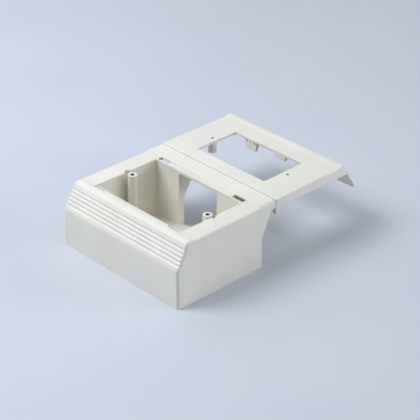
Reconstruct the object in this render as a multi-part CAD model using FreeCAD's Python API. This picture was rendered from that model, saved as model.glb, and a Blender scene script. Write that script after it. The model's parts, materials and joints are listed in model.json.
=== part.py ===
import FreeCAD, Part
import math
import os

os.makedirs("parts", exist_ok=True)

# Surface raceway box: a deep offset box that stands beside a raceway, and the device bracket
# that carries on from it over the raceway. Millimetres. X runs along the raceway, Y runs back
# from the front face and Z up from the wall. Depths are measured from the foot of the front
# face, and the finished pieces are moved so that the origin is the centre of the box's base.

# Faceplate screws, shared by both pieces
screw_spacing = 83.34         # standard faceplate screw pair

# Box opening and the margins that make up its length and depth
post_to_end_wall = 5.7        # screw centre to the end of the opening
opening_width = 62.6
opening_setback = 19.4        # foot of the front face to the opening
opening_corner = 1.2
end_margin = 17.6             # opening to the foot of an end wall
rear_margin = 6.0             # opening to the foot of the rear edges

# Box shell
rim_height = 51.3
rim_thickness = 2.45
shell_wall = 2.2
end_draft = 2.2               # degrees that an end wall leans in
front_draft = 0.5             # degrees that the front face leans back
front_face_height = 31.7
bevel_lean = 28.4             # degrees from upright
bevel_blend = 7.0             # radius between front face and bevel
nose_radius = 4.5
nose_rise = 0.9               # crest above the rim
crest_width = 1.6             # flat of the crest behind the nose
dip_length = 4.0              # fall from the crest to the rim
dip_blend = 8.0
corner_radius = 2.4           # front corners, from the foot to the nose
rim_edge = 0.9                # rounding of the rim along the end walls
cavity_corner = 2.0

# Grip grooves along the bevel
groove_count = 5
groove_pitch = 3.175
groove_first = 4.15           # above the foot of the bevel, along it
groove_radius = 1.1
groove_depth = 0.65

# Rear edges of the box: upright, sloping out over the raceway, upright again
step_foot = 26.0
step_rise = 17.5
step_out = 9.6
step_radius = 3.0

# Pocket inside the opening
pocket_wall = 1.5
floor_thickness = 2.3
cable_gap = 42.2              # cut-out through the pocket's rear wall
jamb_wall = 1.8
sill_reach = 4.4              # floor behind the opening, between the jambs

# Screw posts of the box
post_setback = 0.9            # post centre behind the middle of the opening
post_below_rim = 0.4
post_top_radius = 3.7
post_foot_radius = 4.3
post_hole_radius = 1.65
post_hole_depth = 22.0
relief_radius = 2.5           # half-round relief of the pocket's end wall beside a post

# Wall screw holes in the pocket's floor
wall_screw_spacing = 60.0
wall_screw_radius = 2.4

# Clip slots at the opening's corners, and the thin tab in front of each
slot_length = 11.9
slot_end_gap = 0.4
front_slot_width = 1.9
tab_wall = 1.3
tab_proud = 0.8               # a front tab stands this far into the opening
slot_depth = 12.0
tab_root = 4.0                # tab below the slot
slot_undercut = 3.0           # rim cut away under the strip at a rear slot
slot_cover = 1.6              # strip left above that undercut
slot_rib = 1.5                # rib at the inner end of a rear slot

# Raised strip along the box's rear edge, with its hook leg
strip_rise = 1.2
strip_width = 15.6
strip_thickness = 2.4
strip_edge = 0.9              # rounding round the strip's top
lip_wall = 1.6
lip_drop = 7.1
leg_wall = 1.2
leg_gap = 0.8                 # leg behind the rear edges
leg_drop = 12.3
leg_end = 1.6                 # short length of leg left at each end
leg_notch = 14.9              # leg cut away next to it, behind the rear slots
strip_end_wall = 1.6
strip_end_ledge = 1.5         # raised top ends this far short of the box's ends
strip_end_radius = 1.4
strip_groove_count = 4
strip_groove_pitch = 2.75
strip_groove_first = 4.6      # behind the strip's front edge
strip_groove_radius = 1.0
strip_groove_depth = 0.3

# Bracket plate, skirts and flanges
seam_gap = 0.8
plate_thickness = 2.0
plate_edge = 0.9              # rounding along the seam
plate_end_edge = 0.6          # rounding along the ends
near_flange_wall = 1.6
near_flange_drop = 13.3
skirt_wall = 1.8
skirt_drop = 8.2
inner_corner = 0.8
device_setback = 13.4         # seam to the device opening
device_width = 43.2
device_corner = 1.0
post_to_device = 4.8          # screw centre to the device opening
far_margin = 21.3             # device opening to the corner of the far flange
far_nose_radius = 3.0
far_flange_wall = 2.4
far_flange_lean = 35.4        # degrees from upright
far_flange_drop = 18.6        # plate top to the turn of the flange
far_tip_lean = 17.0
far_tip_drop = 4.7
far_turn_radius = 6.0

# Screw posts of the bracket
bracket_post_radius = 3.6
bracket_post_drop = 12.0
bracket_hole_radius = 1.4

# Snap clips along the far edge of the device opening: start, width and drop below the plate top.
# The first, which is the longest, has a row of relief windows at its root
clips = [(-25.3, 11.9, 9.3), (7.3, 11.4, 5.8), (31.6, 5.3, 6.0)]
clip_wall = 1.6
clip_window_count = 3
clip_window_width = 1.4
clip_window_height = 2.2
clip_gusset = 5.4             # length of a clip's side webs under the plate
clip_gusset_wall = 1.4

# Hooks of the bracket that catch behind the lip of the strip
hook_spacing = 60.0
hook_width = 12.0
hook_clearance = 0.3
hook_wall = 1.0
hook_foot = 1.6

# Sizes that follow from the ones above
half_screws = screw_spacing / 2
opening_half = half_screws + post_to_end_wall
opening_rear = opening_setback + opening_width
opening_middle = opening_setback + opening_width / 2
post_depth = opening_middle + post_setback
box_half = opening_half + end_margin
box_depth = opening_rear + rear_margin
rim_under = rim_height - rim_thickness
post_top = rim_height - post_below_rim
crest_height = rim_height + nose_rise
rear_top = box_depth + step_out
strip_top = rim_height + strip_rise
hook_channel = hook_wall + 2 * hook_clearance
strip_rear = rear_top + leg_gap + leg_wall + hook_channel + lip_wall
strip_front = strip_rear - strip_width
strip_under = strip_top - strip_thickness
strip_half = box_half - rim_height * math.tan(math.radians(end_draft))
seam = strip_rear + seam_gap
device_front = seam + device_setback
device_rear = device_front + device_width
device_middle = device_front + device_width / 2
device_half = half_screws - post_to_device
plate_under = strip_top - plate_thickness
far_corner = device_rear + far_margin
slot_end = opening_half - slot_end_gap
slot_start = slot_end - slot_length
front_tab_back = opening_setback + tab_proud - tab_wall
rear_tab_back = opening_rear + tab_wall
edge_share = 1 / 3            # rounding of a free edge, as a share of its wall
margin = 5.0                  # how far a cutting shape runs past what it cuts


def side(y, z):
    return FreeCAD.Vector(0, y, z)


def plan(x, y):
    return FreeCAD.Vector(x, y, 0)


def front(x, z):
    return FreeCAD.Vector(x, 0, z)


# Closed face from corners (first, second, radius): a tangent arc rounds each corner with a radius
def rounded_face(corners, place):
    points = [place(first, second) for first, second, radius in corners]
    bends = []
    for index, corner in enumerate(points):
        radius = corners[index][2]
        back = (points[index - 1] - corner).normalize()
        ahead = (points[(index + 1) % len(points)] - corner).normalize()
        half_turn = (math.pi - back.getAngle(ahead)) / 2
        reach = radius * math.tan(half_turn)
        bulge = (back + ahead) * 0.5
        if radius > 0:
            bulge = bulge.normalize() * (radius / math.cos(half_turn) - radius)
        bends.append((corner + back * reach, corner + bulge, corner + ahead * reach))
    edges = []
    for index, (start, middle, end) in enumerate(bends):
        if corners[index][2] > 0:
            edges.append(Part.Arc(start, middle, end).toShape())
        edges.append(Part.makeLine(end, bends[(index + 1) % len(bends)][0]))
    return Part.Face(Part.Wire(edges))


# Side outline carried along X from one place to another
def across(corners, low_x, high_x):
    face = rounded_face(corners, side)
    face.translate(FreeCAD.Vector(low_x, 0, 0))
    return face.extrude(FreeCAD.Vector(high_x - low_x, 0, 0))


# Rounded rectangle in plan carried up from one height to another
def upright(low_x, high_x, low_y, high_y, low_z, high_z, radius=0.0):
    corners = [(low_x, low_y, radius), (high_x, low_y, radius),
               (high_x, high_y, radius), (low_x, high_y, radius)]
    face = rounded_face(corners, plan)
    face.translate(FreeCAD.Vector(0, 0, low_z))
    return face.extrude(FreeCAD.Vector(0, 0, high_z - low_z))


def drop_hole(radius, x, y, low_z, high_z):
    return Part.makeCylinder(radius, high_z - low_z, FreeCAD.Vector(x, y, low_z))


# Round bar along X, used to cut a groove
def groove_bar(radius, y, z, half_length):
    return Part.makeCylinder(radius, 2 * half_length, FreeCAD.Vector(-half_length, y, z),
                             FreeCAD.Vector(1, 0, 0))


def both_ways(shape):
    return [shape, shape.mirror(FreeCAD.Vector(), FreeCAD.Vector(1, 0, 0))]


def fuse(shapes):
    return shapes[0].multiFuse(shapes[1:])


# Y of the front face and of the bevel at a height, moved in by a wall
def front_face_at(z, inset):
    lean = math.radians(front_draft)
    return z * math.tan(lean) + inset / math.cos(lean)


bevel_foot = front_face_at(front_face_height, 0)


def bevel_at(z, inset):
    lean = math.radians(bevel_lean)
    return bevel_foot + (z - front_face_height) * math.tan(lean) + inset / math.cos(lean)


# Height where the moved-in front face and bevel meet
def bend_height(inset):
    run = math.tan(math.radians(bevel_lean)) - math.tan(math.radians(front_draft))
    shift = inset / math.cos(math.radians(front_draft)) - inset / math.cos(math.radians(bevel_lean))
    return front_face_height + shift / run


# Rear edge of the end walls and jambs, from the rim down to the foot
rear_edge = [
    (rear_top, rim_height, 0),
    (rear_top, step_foot + step_rise, step_radius),
    (box_depth, step_foot, step_radius),
    (box_depth, 0, 0),
]


# Slanted end planes of the box: a front view that narrows upwards
def between_ends(inset):
    low = -margin
    high = crest_height + margin
    lean = math.tan(math.radians(end_draft))
    low_half = box_half - inset - low * lean
    high_half = box_half - inset - high * lean
    corners = [(-low_half, low, 0), (low_half, low, 0), (high_half, high, 0), (-high_half, high, 0)]
    face = rounded_face(corners, front)
    face.translate(FreeCAD.Vector(0, -margin, 0))
    return face.extrude(FreeCAD.Vector(0, strip_rear + 3 * margin, 0))


# Outer form of the box: the side outline with its bevel, nose and stepped rear, between slanted ends
def box_outside():
    nose_corner = bevel_at(crest_height, 0)
    nose_reach = nose_radius * math.tan(math.radians(90 - bevel_lean) / 2)
    crest_end = nose_corner + nose_reach + crest_width
    outline = [
        (0, 0, 0),
        (bevel_foot, front_face_height, bevel_blend),
        (nose_corner, crest_height, nose_radius),
        (crest_end, crest_height, 0),
        (crest_end + dip_length, rim_height, dip_blend),
    ] + rear_edge
    body = across(outline, -box_half - margin, box_half + margin).common(between_ends(0))
    corners = [edge for edge in end_edges(body, 0, crest_end) if middle_of(edge).z > 0]
    body = body.makeFillet(corner_radius, corners)
    rims = [edge for edge in end_edges(body, crest_end, rear_top) if middle_of(edge).z > rim_under]
    return body.makeFillet(rim_edge, rims)


def middle_of(edge):
    low, high = edge.ParameterRange
    return edge.valueAt((low + high) / 2)


# Edges of an end face whose middle lies between two depths
def end_edges(body, low_y, high_y):
    found = []
    for edge in body.Edges:
        ends = [vertex.Point for vertex in edge.Vertexes]
        runs_across = abs(ends[0].x - ends[-1].x) > box_half
        if low_y < middle_of(edge).y < high_y and not runs_across:
            found.append(edge)
    return found


# Space between the outer shell and the pocket, open below and behind
def box_cavity():
    bend = bend_height(shell_wall)
    outline = [
        (front_face_at(-margin, shell_wall), -margin, 0),
        (front_face_at(bend, shell_wall), bend, bevel_blend),
        (bevel_at(rim_under, shell_wall), rim_under, cavity_corner),
        (rear_top + margin, rim_under, 0),
        (rear_top + margin, -margin, 0),
    ]
    return across(outline, -box_half, box_half).common(between_ends(shell_wall))


def bevel_grooves():
    lean = math.radians(bevel_lean)
    lift = groove_radius - groove_depth
    bars = []
    for index in range(groove_count):
        along = groove_first + index * groove_pitch
        y = bevel_foot + along * math.sin(lean) - lift * math.cos(lean)
        z = front_face_height + along * math.cos(lean) + lift * math.sin(lean)
        bars.append(groove_bar(groove_radius, y, z, box_half + margin))
    return bars


# Opening of the box, with the half-round reliefs beside the posts
def box_opening():
    hole = upright(-opening_half, opening_half, opening_setback, opening_rear,
                   floor_thickness, crest_height + margin, opening_corner)
    relief = drop_hole(relief_radius, opening_half, post_depth, floor_thickness, crest_height + margin)
    return fuse([hole] + both_ways(relief))


# Pocket walls and floor, with the sill, the jambs of the cable cut-out and the ribs at the rear slots
def pocket():
    walls = upright(-opening_half - pocket_wall, opening_half + pocket_wall,
                    opening_setback - pocket_wall, opening_rear + pocket_wall,
                    0, rim_height, opening_corner + pocket_wall)
    swell = drop_hole(relief_radius + pocket_wall, opening_half, post_depth, 0, rim_height)
    sill = upright(-cable_gap / 2, cable_gap / 2, opening_rear - pocket_wall,
                   opening_rear + sill_reach, 0, floor_thickness)
    jamb_outline = [(opening_rear, 0, 0), (opening_rear, rim_height, 0)] + rear_edge
    jamb = across(jamb_outline, cable_gap / 2, cable_gap / 2 + jamb_wall)
    rib = across(jamb_outline, slot_start - slot_rib, slot_start)
    solid = fuse([walls, sill] + both_ways(swell) + both_ways(jamb) + both_ways(rib))
    return solid.cut(box_opening())


def cable_cutout():
    return upright(-cable_gap / 2, cable_gap / 2, opening_rear - margin, opening_rear + pocket_wall,
                   floor_thickness, rim_under)


# Tapered screw post that stands on the pocket's floor
def box_post():
    return Part.makeCone(post_foot_radius, post_top_radius, post_top,
                         FreeCAD.Vector(half_screws, post_depth, 0))


def box_post_hole():
    return drop_hole(post_hole_radius, half_screws, post_depth,
                     post_top - post_hole_depth, post_top + margin)


# Clip tabs of one end, thin walls: the front one stands a little into the opening
def clip_tabs():
    low = rim_height - slot_depth - tab_root
    return [
        upright(slot_start, slot_end, front_tab_back, front_tab_back + tab_wall, low, rim_height),
        upright(slot_start, slot_end, rear_tab_back - tab_wall, rear_tab_back, low, rim_height),
    ]


# Slots of one end, right behind the tabs: the rear one runs back to the strip and on below it
def clip_slots():
    low = rim_height - slot_depth
    high = strip_top + margin
    return [
        upright(slot_start, slot_end, front_tab_back - front_slot_width, front_tab_back, low, high),
        upright(slot_start, slot_end, rear_tab_back, strip_front, low, high),
        upright(slot_start, slot_end, rear_tab_back, strip_front + slot_undercut, low,
                strip_top - slot_cover),
    ]


# Raised strip with its rolled rear lip, and the notched leg that hooks over the raceway's edge
def strip():
    lip_front = strip_rear - lip_wall
    leg_front = rear_top + leg_gap
    leg_back = leg_front + leg_wall
    outline = [
        (strip_front, strip_under, 0),
        (strip_front, strip_top, 0),
        (strip_rear, strip_top, 0),
        (strip_rear, strip_top - lip_drop, lip_wall * edge_share),
        (lip_front, strip_top - lip_drop, lip_wall * edge_share),
        (lip_front, strip_under, 0),
        (leg_back, strip_under, 0),
        (leg_back, strip_top - leg_drop, leg_wall * edge_share),
        (leg_front, strip_top - leg_drop, leg_wall * edge_share),
        (leg_front, strip_under, 0),
    ]
    ledge = upright(strip_half - strip_end_ledge, strip_half + margin, strip_front - margin,
                    strip_rear + margin, rim_height, strip_top + margin)
    body = across(outline, -strip_half, strip_half).cut(Part.Compound(both_ways(ledge)))
    top_edges = [edge for edge in body.Edges if middle_of(edge).z > strip_top - strip_edge / 2]
    body = body.makeFillet(strip_edge, top_edges)
    bars = []
    for index in range(strip_groove_count):
        y = strip_front + strip_groove_first + index * strip_groove_pitch
        z = strip_top + strip_groove_radius - strip_groove_depth
        bars.append(groove_bar(strip_groove_radius, y, z, strip_half + margin))
    end_outline = [
        (rear_top - shell_wall, strip_under + strip_thickness / 2, 0),
        (strip_rear, strip_under + strip_thickness / 2, 0),
        (strip_rear, strip_top - lip_drop, strip_end_radius),
        (rear_top - shell_wall, strip_top - lip_drop, 0),
    ]
    end = across(end_outline, strip_half - strip_end_wall, strip_half)
    notch_end = strip_half - leg_end
    notch = upright(notch_end - leg_notch, notch_end, leg_front, leg_back,
                    strip_top - leg_drop, strip_under)
    return fuse([body.cut(Part.Compound(bars + both_ways(notch)))] + both_ways(end))


def offset_box():
    shell = box_outside().cut(box_cavity())
    body = fuse([shell, pocket(), strip()]).cut(fuse([box_opening(), cable_cutout()]))
    posts = both_ways(box_post())
    tabs = [copy for tab in clip_tabs() for copy in both_ways(tab)]
    body = fuse([body] + posts + tabs)
    cuts = bevel_grooves()
    for shape in clip_slots() + [box_post_hole()]:
        cuts += both_ways(shape)
    wall_hole = drop_hole(wall_screw_radius, wall_screw_spacing / 2, opening_middle,
                          -margin, floor_thickness + margin)
    cuts += both_ways(wall_hole)
    return body.cut(Part.Compound(cuts)).removeSplitter()


# Y of the far flange's outer face at a height, moved in by a wall
def far_flange_at(z, inset):
    lean = math.radians(far_flange_lean)
    return far_corner + (strip_top - z) * math.tan(lean) - inset / math.cos(lean)


# Top of the bracket from the seam to the far nose, which has the same crest as the box's nose
def bracket_top():
    far_crest = strip_top + nose_rise
    nose_corner = far_flange_at(far_crest, 0)
    nose_reach = far_nose_radius * math.tan(math.radians(90 - far_flange_lean) / 2)
    crest_start = nose_corner - nose_reach - crest_width
    return [
        (seam, strip_top, plate_edge),
        (crest_start - dip_length, strip_top, dip_blend),
        (crest_start, far_crest, 0),
        (nose_corner, far_crest, far_nose_radius),
    ]


# Side outline of the bracket: near flange, plate and far flange as one folded wall
def bracket_outline():
    turn_z = strip_top - far_flange_drop
    tip_z = turn_z - far_tip_drop
    lean = math.radians(far_flange_lean)
    tip_lean = math.radians(far_tip_lean)
    turn_y = far_flange_at(turn_z, 0)
    tip_y = turn_y + far_tip_drop * math.tan(tip_lean)
    half_bend = (lean - tip_lean) / 2
    miter = far_flange_wall / math.cos(half_bend)
    miter_lean = (lean + tip_lean) / 2
    near_bottom = strip_top - near_flange_drop
    return [(seam, near_bottom, near_flange_wall * edge_share)] + bracket_top() + [
        (turn_y, turn_z, far_turn_radius),
        (tip_y, tip_z, far_flange_wall * edge_share),
        (tip_y - far_flange_wall * math.cos(tip_lean), tip_z - far_flange_wall * math.sin(tip_lean),
         far_flange_wall * edge_share),
        (turn_y - miter * math.cos(miter_lean), turn_z - miter * math.sin(miter_lean), far_turn_radius),
        (far_flange_at(plate_under, far_flange_wall), plate_under, inner_corner),
        (seam + near_flange_wall, plate_under, inner_corner),
        (seam + near_flange_wall, near_bottom, near_flange_wall * edge_share),
    ]


# End skirt of the bracket, from the near flange to the far one
def skirt():
    low = strip_top - skirt_drop
    outline = [(seam, low, 0)] + bracket_top() + [(far_flange_at(low, 0), low, 0)]
    return across(outline, strip_half - skirt_wall, strip_half)


def bracket_post():
    return drop_hole(bracket_post_radius, half_screws, device_middle,
                     strip_top - bracket_post_drop, plate_under + plate_thickness / 2)


def bracket_hole():
    return drop_hole(bracket_hole_radius, half_screws, device_middle,
                     strip_top - bracket_post_drop - margin, strip_top + margin)


# Snap clip at the opening's far edge: a thin leg with a three-cornered web at each side
def clip(start, width, drop):
    leg = upright(start, start + width, device_rear, device_rear + clip_wall,
                  strip_top - drop, plate_under + plate_thickness / 2)
    web_outline = [
        (device_rear, strip_top - drop, 0),
        (device_rear + clip_wall, strip_top - drop, 0),
        (device_rear + clip_gusset, plate_under, 0),
        (device_rear + clip_gusset, plate_under + plate_thickness / 2, 0),
        (device_rear, plate_under + plate_thickness / 2, 0),
    ]
    near_web = across(web_outline, start, start + clip_gusset_wall)
    far_web = across(web_outline, start + width - clip_gusset_wall, start + width)
    return fuse([leg, near_web, far_web])


# Relief windows at the root of the first clip
def clip_windows():
    start, width, drop = clips[0]
    windows = []
    for index in range(clip_window_count):
        middle = start + (index + 0.5) * width / clip_window_count
        windows.append(upright(middle - clip_window_width / 2, middle + clip_window_width / 2,
                               device_rear - margin, device_rear + clip_wall,
                               plate_under - clip_window_height, plate_under))
    return windows


# Hook under the strip's lip: a foot that runs forward from the near flange, turned up behind the lip
def hook():
    lip_front = strip_rear - lip_wall
    up_back = lip_front - hook_clearance
    foot_top = strip_top - lip_drop - hook_clearance
    outline = [
        (seam + near_flange_wall / 2, foot_top - hook_foot, 0),
        (seam + near_flange_wall / 2, foot_top, 0),
        (up_back, foot_top, 0),
        (up_back, strip_under - hook_clearance, hook_wall * edge_share),
        (up_back - hook_wall, strip_under - hook_clearance, hook_wall * edge_share),
        (up_back - hook_wall, foot_top - hook_foot, hook_wall * edge_share),
    ]
    low_x = (hook_spacing - hook_width) / 2
    return across(outline, low_x, low_x + hook_width)


# True for the edges of an end face along the plate's top
def on_plate_end(edge):
    nearest = min(abs(vertex.Point.x) for vertex in edge.Vertexes)
    return nearest > strip_half - skirt_wall / 2 and middle_of(edge).z > strip_top - plate_edge / 2


def device_bracket():
    pieces = [across(bracket_outline(), -strip_half, strip_half)]
    for shape in [skirt(), bracket_post(), hook()]:
        pieces += both_ways(shape)
    body = fuse(pieces).removeSplitter()
    ends = [edge for edge in body.Edges if on_plate_end(edge)]
    pieces = [body.makeFillet(plate_end_edge, ends)] + [clip(*sizes) for sizes in clips]
    opening = upright(-device_half, device_half, device_front, device_rear,
                      plate_under - margin, strip_top + margin, device_corner)
    cuts = [opening] + clip_windows() + both_ways(bracket_hole())
    return fuse(pieces).cut(Part.Compound(cuts)).removeSplitter()


to_origin = FreeCAD.Vector(0, -box_depth / 2, 0)
for name, shape in [("offset_box", offset_box()), ("device_bracket", device_bracket())]:
    shape.translate(to_origin)
    print(name, len(shape.Solids), "solids", shape.isValid(), round(shape.Volume), shape.BoundBox)
    shape.exportStep("parts/" + name + ".step")
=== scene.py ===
import json
import math

import bpy
import numpy as np
from mathutils import Matrix, Vector


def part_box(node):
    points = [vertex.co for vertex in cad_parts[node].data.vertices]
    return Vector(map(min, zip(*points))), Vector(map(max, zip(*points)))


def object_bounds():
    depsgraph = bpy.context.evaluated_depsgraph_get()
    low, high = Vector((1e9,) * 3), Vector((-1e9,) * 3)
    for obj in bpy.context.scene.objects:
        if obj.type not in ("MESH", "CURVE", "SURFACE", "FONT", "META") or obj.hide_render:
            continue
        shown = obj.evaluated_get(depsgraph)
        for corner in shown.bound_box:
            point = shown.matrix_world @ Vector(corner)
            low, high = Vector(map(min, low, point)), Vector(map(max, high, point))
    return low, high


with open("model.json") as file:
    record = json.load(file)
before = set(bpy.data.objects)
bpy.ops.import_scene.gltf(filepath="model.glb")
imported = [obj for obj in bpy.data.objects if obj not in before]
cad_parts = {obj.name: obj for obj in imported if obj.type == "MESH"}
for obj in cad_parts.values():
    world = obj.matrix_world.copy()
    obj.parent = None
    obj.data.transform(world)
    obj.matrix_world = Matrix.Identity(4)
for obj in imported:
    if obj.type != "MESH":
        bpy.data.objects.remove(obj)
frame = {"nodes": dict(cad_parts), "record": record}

# Surface raceway box: a deep off-white moulded box and the bracket that carries on from it.
# Metres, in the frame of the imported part: X along the raceway, Y back from the front, Z up.

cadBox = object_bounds()
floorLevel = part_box("offset_box")[0].z
mm = 0.001
print("frame loaded, nodes:", sorted(frame["nodes"]))


# sRGB hex to linear light
def hexColour(code):
    srgb = np.array([int(code[i:i + 2], 16) for i in (1, 3, 5)]) / 255
    linear = np.where(srgb <= 0.04045, srgb / 12.92, ((srgb + 0.055) / 1.055) ** 2.4)
    return (*linear.tolist(), 1.0)


# one node with its settings (attributes), constant sockets and links into it
def addNode(tree, kind, settings=None, sockets=None, links=None):
    node = tree.nodes.new(kind)
    for name, value in (settings or {}).items():
        setattr(node, name, value)
    for name, value in (sockets or {}).items():
        node.inputs[name].default_value = value
    for name, source in (links or {}).items():
        tree.links.new(source, node.inputs[name])
    return node


# a new material with an empty node tree
def newMaterial(name):
    material = bpy.data.materials.new(name)
    material.use_nodes = True
    material.node_tree.nodes.clear()
    return material, material.node_tree


# 1 for the rays that the eye follows straight, in gloss or through glass, 0 for light that spreads
def seenDirectly(tree):
    rays = addNode(tree, "ShaderNodeLightPath").outputs
    either = addNode(tree, "ShaderNodeMath", {"operation": "MAXIMUM"}, None,
                     {0: rays["Is Camera Ray"], 1: rays["Is Glossy Ray"]})
    return addNode(tree, "ShaderNodeMath", {"operation": "MAXIMUM"}, None,
                   {0: either.outputs["Value"], 1: rays["Is Transmission Ray"]}).outputs["Value"]


# Moulded ABS, uncoated: a warm off-white, satin from a lightly textured tool. The eye gets broad
# soft highlights, no sparkle and clean soft edges. Narrow gaps get a little painted shade, and
# the deep screw holes are painted dark as shade.
absFinishAndShade = {
    "paleColour": "#F4F0E4",      # main tone
    "deepColour": "#EDE9DB",      # slow drift of tone where the melt cooled later
    "driftSize": 45 * mm,         # width of one patch of drift
    "driftDetail": 2.0,           # layers of ever finer noise
    "grainSize": 0.9 * mm,        # tool texture is near 0.1 mm: drawn coarser so that it shows
    "grainDetail": 3.0,
    "grainMix": 0.6,              # share that each finer layer of grain keeps
    "grainHeight": 0.004 * mm,
    "noiseLow": 0.3,              # noise mostly lies between these two
    "noiseHigh": 0.7,
    "satin": 0.4,                 # roughness
    "roughDrift": 0.05,
    "ior": 1.53,
    "edgeRound": 0.6 * mm,        # soft edge that every moulded corner has
    "edgeSamples": 4,
    "crevice": 2.2 * mm,          # how far round a point is looked for walls that close it in, for the painted shade
    "creviceSamples": 8,
    "shut": 0.1,                  # open share of its surroundings where the painted shade is deepest
    "open": 0.4,                  # and where there is none
    "creviceShadeTone": 0.45,             # brightness left where the painted shade is deepest
    "holeShadeEdge": 0.1 * mm,         # width of the change from painted shade to plain tone at the rim of a screw hole
}


# tone drifts over the piece; painted shade darkens it in gaps and down its screw holes
def mouldedAbs(name, finishAndShade, holes):
    material, tree = newMaterial(name)
    place = addNode(tree, "ShaderNodeTexCoord").outputs["Object"]
    drift = addNode(tree, "ShaderNodeTexNoise", None,
                    {"Scale": 1 / finishAndShade["driftSize"], "Detail": finishAndShade["driftDetail"]},
                    {"Vector": place})
    tone = addNode(tree, "ShaderNodeValToRGB", None, None, {"Fac": drift.outputs["Fac"]})
    tone.color_ramp.elements[0].position = finishAndShade["noiseLow"]
    tone.color_ramp.elements[0].color = hexColour(finishAndShade["deepColour"])
    tone.color_ramp.elements[1].position = finishAndShade["noiseHigh"]
    tone.color_ramp.elements[1].color = hexColour(finishAndShade["paleColour"])
    # painted shade: the colour darkens where walls close a point in, in narrow gaps, slots, grooves
    # and the seam
    openShare = addNode(tree, "ShaderNodeAmbientOcclusion", {"samples": finishAndShade["creviceSamples"]},
                        {"Distance": finishAndShade["crevice"]})
    paintedCreviceShade = addNode(tree, "ShaderNodeMapRange", None,
                   {"From Min": finishAndShade["shut"], "From Max": finishAndShade["open"],
                    "To Min": finishAndShade["creviceShadeTone"]},
                   {"Value": openShare.outputs["AO"]})

    # painted shade in the screw holes, by distance from the nearer screw's axis: the pair stands at
    # x and -x, so x loses its sign
    part = addNode(tree, "ShaderNodeSeparateXYZ", None, None, {"Vector": place}).outputs
    outward = addNode(tree, "ShaderNodeMath", {"operation": "ABSOLUTE"}, None, {0: part["X"]})
    onPlan = addNode(tree, "ShaderNodeCombineXYZ", None, None,
                     {"X": outward.outputs["Value"], "Y": part["Y"]})
    away = addNode(tree, "ShaderNodeVectorMath", {"operation": "DISTANCE"},
                   {1: (holes["x"], holes["y"], 0)}, {0: onPlan.outputs["Vector"]})
    inside = addNode(tree, "ShaderNodeMapRange", None,
                     {"From Min": holes["radius"], "From Max": holes["radius"] + finishAndShade["holeShadeEdge"],
                      "To Min": holes["tone"]}, {"Value": away.outputs["Value"]})
    below = addNode(tree, "ShaderNodeMath", {"operation": "LESS_THAN"}, {1: holes["foot"]},
                    {0: part["Z"]})
    hole = addNode(tree, "ShaderNodeMath", {"operation": "MAXIMUM"}, None,
                   {0: inside.outputs["Result"], 1: below.outputs["Value"]})
    # painted shade from the gaps and from the screw holes, laid on the drifting tone
    shade = addNode(tree, "ShaderNodeMath", {"operation": "MULTIPLY"}, None,
                    {0: paintedCreviceShade.outputs["Result"], 1: hole.outputs["Value"]})
    colour = addNode(tree, "ShaderNodeVectorMath", {"operation": "SCALE"}, None,
                     {0: tone.outputs["Color"], "Scale": shade.outputs["Value"]})

    # grain of the tool: it moves the roughness a little and stands out of softened edges
    grain = addNode(tree, "ShaderNodeTexNoise", None,
                    {"Scale": 1 / finishAndShade["grainSize"], "Detail": finishAndShade["grainDetail"],
                     "Roughness": finishAndShade["grainMix"]},
                    {"Vector": place})
    rough = addNode(tree, "ShaderNodeMapRange", None,
                    {"From Min": finishAndShade["noiseLow"], "From Max": finishAndShade["noiseHigh"],
                     "To Min": finishAndShade["satin"] - finishAndShade["roughDrift"],
                     "To Max": finishAndShade["satin"] + finishAndShade["roughDrift"]},
                    {"Value": grain.outputs["Fac"]})
    softEdge = addNode(tree, "ShaderNodeBevel", {"samples": finishAndShade["edgeSamples"]},
                       {"Radius": finishAndShade["edgeRound"]})
    relief = addNode(tree, "ShaderNodeBump", None,
                     {"Strength": 1.0, "Distance": finishAndShade["grainHeight"]},
                     {"Height": grain.outputs["Fac"], "Normal": softEdge.outputs["Normal"]})
    shader = addNode(tree, "ShaderNodeBsdfPrincipled", None, {"IOR": finishAndShade["ior"]},
                     {"Base Color": colour.outputs["Vector"], "Roughness": rough.outputs["Result"],
                      "Normal": relief.outputs["Normal"]})
    addNode(tree, "ShaderNodeOutputMaterial", None, None, {"Surface": shader.outputs["BSDF"]})
    return material


# the two mouldings: how dark the painted shade in their screw holes is, and how far down it reaches
mouldings = {
    "offset_box": {"material": "mouldedAbsBox", "screws": "box_faceplate_screws",
                   "paintedHoleShade": 0.13, "holeShadeDepth": 20 * mm},
    "device_bracket": {"material": "mouldedAbsBracket", "screws": "bracket_faceplate_screws",
                       "paintedHoleShade": 0.9, "holeShadeDepth": 12 * mm},
}


# place and size of the pair of screw holes at x and -x, from the record's mount, and the tone of
# their painted shade
def screwHoles(moulding):
    mount = [m for m in frame["record"]["mounts"] if m["name"] == moulding["screws"]][0]
    return {"x": mount["dims"]["spacing_x_mm"] / 2 * mm, "y": mount["pos_m"][1],
            "radius": mount["dims"]["hole_r_mm"] * mm, "tone": moulding["paintedHoleShade"],
            "foot": mount["pos_m"][2] - moulding["holeShadeDepth"]}


for nodeName, moulding in mouldings.items():
    node = frame["nodes"][nodeName]
    node.data.materials.clear()
    node.data.materials.append(mouldedAbs(moulding["material"], absFinishAndShade, screwHoles(moulding)))
print("moulded ABS on both mouldings")


# Even pale room: its fill lights the object a little, and it is seen behind the floor's edge
room = {"colour": "#EEF2FB", "fill": 0.09, "seen": 0.75}

# Pale matt painted floor, a round sheet: the eye gets a soft shadow and a faint mottle, no shine
floorSheet = {
    "radius": 6.0,
    "rings": 24,
    "spokes": 96,
    "paleColour": "#D8DCE3",
    "deepColour": "#D0D5DE",
    "bounceColour": "#C4CAD3",    # what spread light meets: a little deeper than what the eye sees
    "mottleSize": 120 * mm,
    "mottleDetail": 2.0,
    "rough": 0.85,
    "fadeFrom": 0.5,              # where the floor starts to fade into the pale room
    "fadeTo": 1.6,
}


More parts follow.
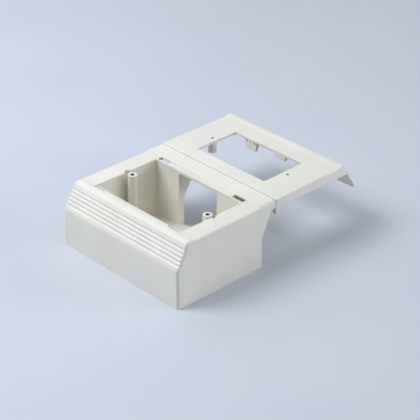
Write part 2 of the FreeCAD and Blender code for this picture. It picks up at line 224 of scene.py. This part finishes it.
# the eye sees the mottle and spread light meets one tone; far out the eye sees the room's tone
def paintedFloor(sheet):
    material, tree = newMaterial("paintedFloor")
    place = addNode(tree, "ShaderNodeTexCoord").outputs["Object"]
    mottle = addNode(tree, "ShaderNodeTexNoise", None,
                     {"Scale": 1 / sheet["mottleSize"], "Detail": sheet["mottleDetail"]},
                     {"Vector": place})
    tone = addNode(tree, "ShaderNodeValToRGB", None, None, {"Fac": mottle.outputs["Fac"]})
    tone.color_ramp.elements[0].color = hexColour(sheet["deepColour"])
    tone.color_ramp.elements[1].color = hexColour(sheet["paleColour"])
    direct = seenDirectly(tree)
    # a mix of colours takes them at inputs 6 and 7 and gives its own at output 2
    colour = addNode(tree, "ShaderNodeMix", {"data_type": "RGBA"},
                     {6: hexColour(sheet["bounceColour"])},
                     {0: direct, 7: tone.outputs["Color"]})
    shader = addNode(tree, "ShaderNodeBsdfPrincipled", None, {"Roughness": sheet["rough"]},
                     {"Base Color": colour.outputs[2]})
    reach = addNode(tree, "ShaderNodeVectorMath", {"operation": "LENGTH"}, None, {0: place})
    fade = addNode(tree, "ShaderNodeMapRange", {"interpolation_type": "SMOOTHSTEP"},
                   {"From Min": sheet["fadeFrom"], "From Max": sheet["fadeTo"]},
                   {"Value": reach.outputs["Value"]})
    hazeShare = addNode(tree, "ShaderNodeMath", {"operation": "MULTIPLY"}, None,
                        {0: fade.outputs["Result"], 1: direct})
    haze = addNode(tree, "ShaderNodeEmission", None,
                   {"Color": hexColour(room["colour"]), "Strength": room["seen"]})
    blend = addNode(tree, "ShaderNodeMixShader", None, None,
                    {0: hazeShare.outputs["Value"], 1: shader.outputs["BSDF"],
                     2: haze.outputs["Emission"]})
    addNode(tree, "ShaderNodeOutputMaterial", None, None, {"Surface": blend.outputs["Shader"]})
    return material


# point (ring, spoke) lies at radius times the ring's share squared, turned by the spoke's angle,
# level with the box's foot
def makeFloor(sheet):
    share = np.linspace(0, 1, sheet["rings"] + 1)[1:, None] ** 2
    turn = np.linspace(0, 2 * math.pi, sheet["spokes"], endpoint=False)[None, :]
    x = sheet["radius"] * share * np.cos(turn)
    y = sheet["radius"] * share * np.sin(turn)
    points = np.stack([x, y, np.full_like(x, floorLevel)], axis=-1).reshape(-1, 3)
    index = np.arange(sheet["rings"] * sheet["spokes"]).reshape(sheet["rings"], sheet["spokes"])
    onward = np.roll(index, -1, axis=1)
    quads = np.stack([index[:-1], index[1:], onward[1:], onward[:-1]], axis=-1).reshape(-1, 4)
    mesh = bpy.data.meshes.new("floor")
    mesh.from_pydata(points.tolist(), [], [index[0].tolist()] + quads.tolist())
    mesh.materials.append(paintedFloor(sheet))
    floor = bpy.data.objects.new("floor", mesh)
    bpy.context.scene.collection.objects.link(floor)
    return floor


makeFloor(floorSheet)
print("floor laid")


# Soft studio light: large lamps round the object
lampColour = "#F2F7FF"            # faintly cool
lamps = {
    "key": {"azimuth": -37, "elevation": 50, "distance": 1.3, "size": 0.8, "watts": 12.6},
    "left": {"azimuth": -100, "elevation": 37, "distance": 1.6, "size": 1.3, "watts": 6.9},
    "lowRear": {"azimuth": 133, "elevation": 15, "distance": 1.6, "size": 0.9, "watts": 12.4},
    "lowFront": {"azimuth": -40, "elevation": 11, "distance": 1.6, "size": 0.9, "watts": 2.3},
    "highRight": {"azimuth": 100, "elevation": 62, "distance": 1.6, "size": 0.9, "watts": 3.7},
}
middle = (cadBox[0] + cadBox[1]) / 2


# unit vector towards a viewer: azimuth 0 stands in front, 90 at the right
def towards(azimuth, elevation):
    a, e = math.radians(azimuth), math.radians(elevation)
    return Vector((math.sin(a) * math.cos(e), -math.cos(a) * math.cos(e), math.sin(e)))


for lampName, lamp in lamps.items():
    light = bpy.data.lights.new(lampName, "AREA")
    light.shape = "DISK"
    light.size = lamp["size"]
    light.energy = lamp["watts"]
    light.color = hexColour(lampColour)[:3]
    holder = bpy.data.objects.new(lampName, light)
    back = towards(lamp["azimuth"], lamp["elevation"])
    holder.location = middle + back * lamp["distance"]
    holder.rotation_euler = back.to_track_quat("Z", "Y").to_euler()
    bpy.context.scene.collection.objects.link(holder)
print("lamps:", ", ".join(lamps))

# the room's fill reaches the object, and the eye sees its brighter tone
world = bpy.data.worlds.new("paleRoom")
world.use_nodes = True
world.node_tree.nodes.clear()
strength = addNode(world.node_tree, "ShaderNodeMapRange", None,
                   {"To Min": room["fill"], "To Max": room["seen"]},
                   {"Value": seenDirectly(world.node_tree)})
sky = addNode(world.node_tree, "ShaderNodeBackground", None, {"Color": hexColour(room["colour"])},
              {"Strength": strength.outputs["Result"]})
addNode(world.node_tree, "ShaderNodeOutputWorld", None, None,
        {"Surface": sky.outputs["Background"]})
bpy.context.scene.world = world
print("pale room set")


# Camera at the photograph's angle: long lens, looking down, turned a little about its own axis
viewpoint = {
    "azimuth": 45.02,
    "elevation": 30.01,
    "roll": 1.17,
    "distance": 1.1909,
    "target": (6.51 * mm, 45.21 * mm, 25.0 * mm),
    "lens": 130.98,               # millimetres, on the sensor below
    "sensor": 36.0,
    "nearClip": 10 * mm,
}


# stands back from its target, turned by the roll about the line of sight
def makeCamera(setup):
    camera = bpy.data.objects.new("camera", bpy.data.cameras.new("camera"))
    camera.data.lens = setup["lens"]
    camera.data.sensor_width = setup["sensor"]
    camera.data.clip_start = setup["nearClip"]
    back = towards(setup["azimuth"], setup["elevation"])
    right = Vector((0, 0, 1)).cross(back).normalized()
    up = back.cross(right)
    roll = math.radians(setup["roll"])
    rolledRight = right * math.cos(roll) + up * math.sin(roll)
    rolledUp = up * math.cos(roll) - right * math.sin(roll)
    turn = Matrix((rolledRight, rolledUp, back)).transposed().to_4x4()
    stand = Vector(setup["target"]) + back * setup["distance"]
    camera.matrix_world = Matrix.Translation(stand) @ turn
    bpy.context.scene.collection.objects.link(camera)
    bpy.context.scene.camera = camera


makeCamera(viewpoint)
bpy.context.scene.view_settings.view_transform = "Standard"
print("camera set")
